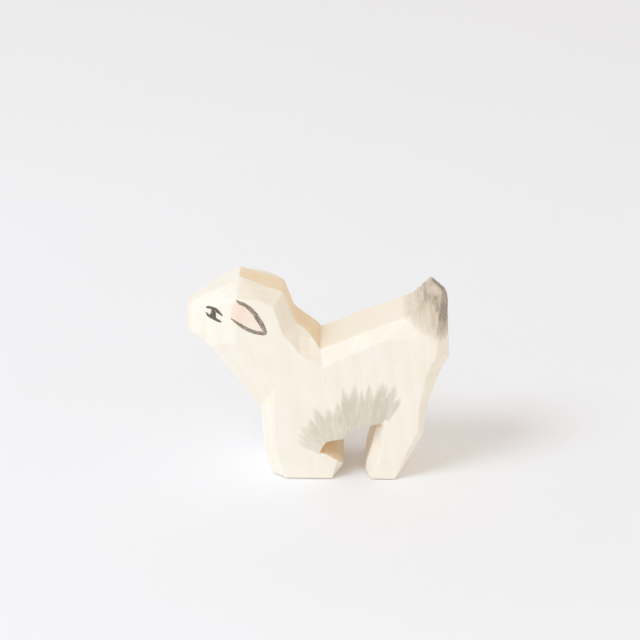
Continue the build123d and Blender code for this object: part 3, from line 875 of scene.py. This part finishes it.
def drawn_line(dark, pale, dryness):
    """Thinned dark paint drawn with a fine brush: where it was half dry, its hairs leave
    streaks and the wood shows between them."""

    def build(tree):
        wood_colour, _, height = maple_wood(tree)
        across, along = (
            add(tree, MARK, out="Fac", attribute_name=name) for name in ("across", "along"))
        # 3 streaks to each half of a line's width, each nearly 2 mm long
        streak = add(tree, JOIN_XYZ, (across, along))
        streak = add(tree, STRETCH, {"Vector": streak, "Scale": (3.2, 600, 1)})
        streak = add(tree, NOISE, {"Vector": streak, "Scale": 1.0, "Detail": 3.0, "Roughness": 0.6})
        # Dry specks of about 0.2 mm
        speckle = add(tree, PLACE, out="Object")
        speckle = add(tree, STRETCH, {"Vector": speckle, "Scale": PER_MM})
        speckle = add(tree, NOISE, {"Vector": speckle, "Scale": 5.0, "Detail": 2.0})
        broken = add(tree, MATH, (speckle, 0.5, streak), **TIMES_PLUS)
        thin = add(tree, RISE, (broken, 0.62, 0.95), **SMOOTH)
        shade = add(tree, RISE, (streak, 0.35, 0.65), **SMOOTH)
        paint = add(tree, MIX, {0: shade, 6: linear(dark), 7: linear(pale)}, **COLOUR_MIX)
        bare = add(tree, MATH, (thin, dryness), **TIMES)
        colour = add(tree, MIX, {0: bare, 6: paint, 7: wood_colour}, **COLOUR_MIX)
        roughness = add(tree, MATH, (thin, 0.2, 0.45), **TIMES_PLUS)
        return colour, roughness, add(tree, MATH, (streak, 0.02, height), **TIMES_PLUS)

    return build


# Maple with a thin oil finish: nearly matt, close-grained and even, with faint rings
wood_finish = finished("maple_thinly_oiled", maple_wood)
# Watercolour soaked into bare wood: matt, with the grain in sight. The fleece is an even
# grey, and the tail is brown where the paint is thin and grey where it pooled.
belly_paint = finished("watercolour_grey_fleece", wash_on_wood(
    "#dbd9d2", "#dbd9d2", hairs=1.5, feather=0.5, streaks=1.15, contrast=0.32))
tail_paint = finished("watercolour_grey_tail", wash_on_wood(
    "#b29b7a", "#a19a93", hairs=3.0, feather=1.2, streaks=2.4, contrast=0.34))
# The pinks are only a tint
ear_paint = finished("watercolour_pink_ear", wash_on_wood(
    "#ffefea", "#ffefea", hairs=2.4, feather=0.2, streaks=0.3, contrast=0.28))
nose_paint = finished("watercolour_pink_nose", wash_on_wood(
    "#fff5f2", "#fff5f2", hairs=1.2, feather=0.5, streaks=0.5, contrast=0.28))
# Gouache drawn on with a fine brush: dense and dark where wet, broken where it ran dry
eye_line = finished("gouache_dark_line_wet", drawn_line("#33281d", "#604f3c", dryness=0.25))
ear_line = finished("gouache_dark_line_dry", drawn_line("#5c4b38", "#87735a", dryness=0.52))

# The lamb and its paint
points, triangles, facet_normals, marks = carved_surface()
body = new_mesh_piece("carved_lamb", points, triangles, marks, wood_finish)
stand_for(body, "carved_body")
outward = np.array([normal.vector for normal in body.data.vertex_normals])


def wash_piece(name, wash, kept, material):
    """A wash over the kept triangles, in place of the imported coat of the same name."""
    values = {**marks, **dict(zip(WASH_VALUES, wash)), "sideways": points[:, 1]}
    coat, faces, values, normals = thin_coat(points, triangles[kept], outward, values)
    stand_for(new_mesh_piece(name + "_coat", coat, faces, values, material, normals), name)


EAR_FACING = 0.2  # an ear's pink lies on facets that face at least this much sideways
SIDES = (("left", -1), ("right", 1))
middles = points[triangles].mean(1)
in_tail, in_nose = in_area(middles, TAIL_AREA), in_area(middles, NOSE_AREA)
wash_piece("tail_wash", tail_wash(points, outward), in_tail, tail_paint)
wash_piece("nose_blush", nose_blush(points), in_nose, nose_paint)
for side_name, side in SIDES:
    faces_out = facet_normals[:, 1] * side
    name, kept = side_name + "_belly_wash", (faces_out > FLAT_FACING) & in_area(middles, BELLY_AREA)
    wash_piece(name, belly_wash(points, side), kept, belly_paint)
    name, kept = side_name + "_ear_blush", (faces_out > EAR_FACING) & in_area(middles, EAR_AREA)
    wash_piece(name, ear_blush(points), kept, ear_paint)

# Every drawn line's centre, size, places, widths and paint, and how high its coat lies so
# that none meets another's surface
STROKES = brush_stroke_tree()
SIDE_SEEDS = 10  # half as far apart as the sides' seeds are
LINES = {
    "eye_upper_lid": (EYE_CENTRE, EYE_LENGTH, UPPER_LID, UPPER_LID_WIDTHS, eye_line, 0.055),
    "eye_lower_lid": (EYE_CENTRE, EYE_LENGTH, LOWER_LID, LOWER_LID_WIDTHS, eye_line, 0.05),
    "eye_pupil": (EYE_CENTRE, EYE_LENGTH, PUPIL, PUPIL_WIDTHS, eye_line, 0.06),
    "ear_upper_line": (EAR_TIP, EAR_LENGTH, EAR_UPPER, EAR_UPPER_WIDTHS, ear_line, 0.06),
    "ear_lower_line": (EAR_TIP, EAR_LENGTH, EAR_LOWER, EAR_LOWER_WIDTHS, ear_line, 0.055),
}
for side_name, side in SIDES:
    for number, (line_name, line) in enumerate(LINES.items()):
        centre, size, shares, widths, paint, coat = line
        name = f"{side_name}_{line_name}"
        places = marks_about(centre, size, shares)
        seed = number + SIDE_SEEDS * side
        stroke = brush_stroke(name + "_stroke", places, widths, side, coat, paint, seed)
        stand_for(stroke, name)

# Floor, light and camera
FAR = 3  # how far the floor reaches each way, in metres


def paper(tree):
    """Smooth matt paper: nearly even, with a faint mottle."""
    place = add(tree, PLACE, out="Object")
    mottle = add(tree, NOISE, {"Vector": place, "Scale": 9.0, "Detail": 3.0})
    fibre = add(tree, NOISE, {"Vector": place, "Scale": 900.0, "Detail": 2.0})
    white = {0: mottle, 6: linear("#fbfbfc"), 7: linear("#f9f9f9")}
    colour = add(tree, MIX, white, **COLOUR_MIX)
    roughness = add(tree, MATH, (mottle, 0.05, 0.85), **TIMES_PLUS)
    return colour, roughness, add(tree, MATH, (fibre, 0.01), **TIMES)


floor_mesh = bpy.data.meshes.new("floor")
corners = [(-FAR, -FAR, 0), (FAR, -FAR, 0), (FAR, FAR, 0), (-FAR, FAR, 0)]
floor_mesh.from_pydata(corners, [], [(0, 1, 2, 3)])
floor = new_object("floor", floor_mesh)
# Smooth paper: matt and nearly white
floor_mesh.materials.append(finished("matt_paper", paper))

# The room is bright all around and dim and warm overhead. A little cool light comes from
# the picture's left, like the window's, and a trace of warm light from the front.
AROUND = (0.858, 0.908, 0.899)
OVERHEAD = (0.535, 0.385, 0.215, 1)
OVERHEAD_RISE = (0.5, 0.9)  # how steeply up the one turns into the other
FROM_LEFT = (0.066, 0.168, 0.435)
FROM_FRONT = (0.09, 0.018, 0.01)
world = bpy.data.worlds.new("pale_room")
world.use_nodes = True
room = world.node_tree
right = add(room, "ShaderNodeSeparateXYZ", (add(room, PLACE, out="Generated"),))
away, up = right.node.outputs["Y"], right.node.outputs["Z"]
level = AROUND
for against, more in ((right, FROM_LEFT), (away, FROM_FRONT)):
    nearness = add(room, MATH, (against, -0.5, 0.5), **TIMES_PLUS)
    level = add(room, VECTOR_MATH, (nearness, more, level), **TIMES_PLUS)
high = add(room, RISE, (up, *OVERHEAD_RISE), **SMOOTH)
level = add(room, MIX, {0: high, 6: level, 7: OVERHEAD}, **COLOUR_MIX)
room.links.new(level, room.nodes["Background"].inputs["Color"])
bpy.context.scene.world = world


def towards(azimuth, elevation):
    """The way to a place from the lamb, by its azimuth in degrees from the left side round
    by the rump, and its elevation."""
    azimuth, elevation = math.radians(azimuth), math.radians(elevation)
    flat = math.cos(elevation)
    return Vector((math.sin(azimuth) * flat, -math.cos(azimuth) * flat, math.sin(elevation)))


def aim(thing, place, back):
    """Puts a light or a camera at a place, with its back to a direction."""
    thing.location = place
    thing.rotation_euler = back.to_track_quat("Z", "Y").to_euler()


# A large soft window, cool against the room
KEY_BACK = towards(308.5, 51)
KEY_DISTANCE = 1.5
key_data = bpy.data.lights.new("window", "AREA")
key_data.shape = "DISK"
key_data.size = 0.68
key_data.energy = 6.75
key_data.color = (0.895, 1.065, 1.24)
aim(new_object("window", key_data), KEY_BACK * KEY_DISTANCE, KEY_BACK)

TARGET = Vector((0.37, 0, 42.56)) * MM
CAMERA_BACK = towards(1.5, 24.5)
CAMERA_DISTANCE = 0.7
camera_data = bpy.data.cameras.new("camera")
camera_data.sensor_width = 36
camera_data.lens = 147.1
camera = new_object("camera", camera_data)
aim(camera, TARGET + CAMERA_BACK * CAMERA_DISTANCE, CAMERA_BACK)
bpy.context.scene.camera = camera
bpy.context.scene.view_settings.view_transform = "Standard"
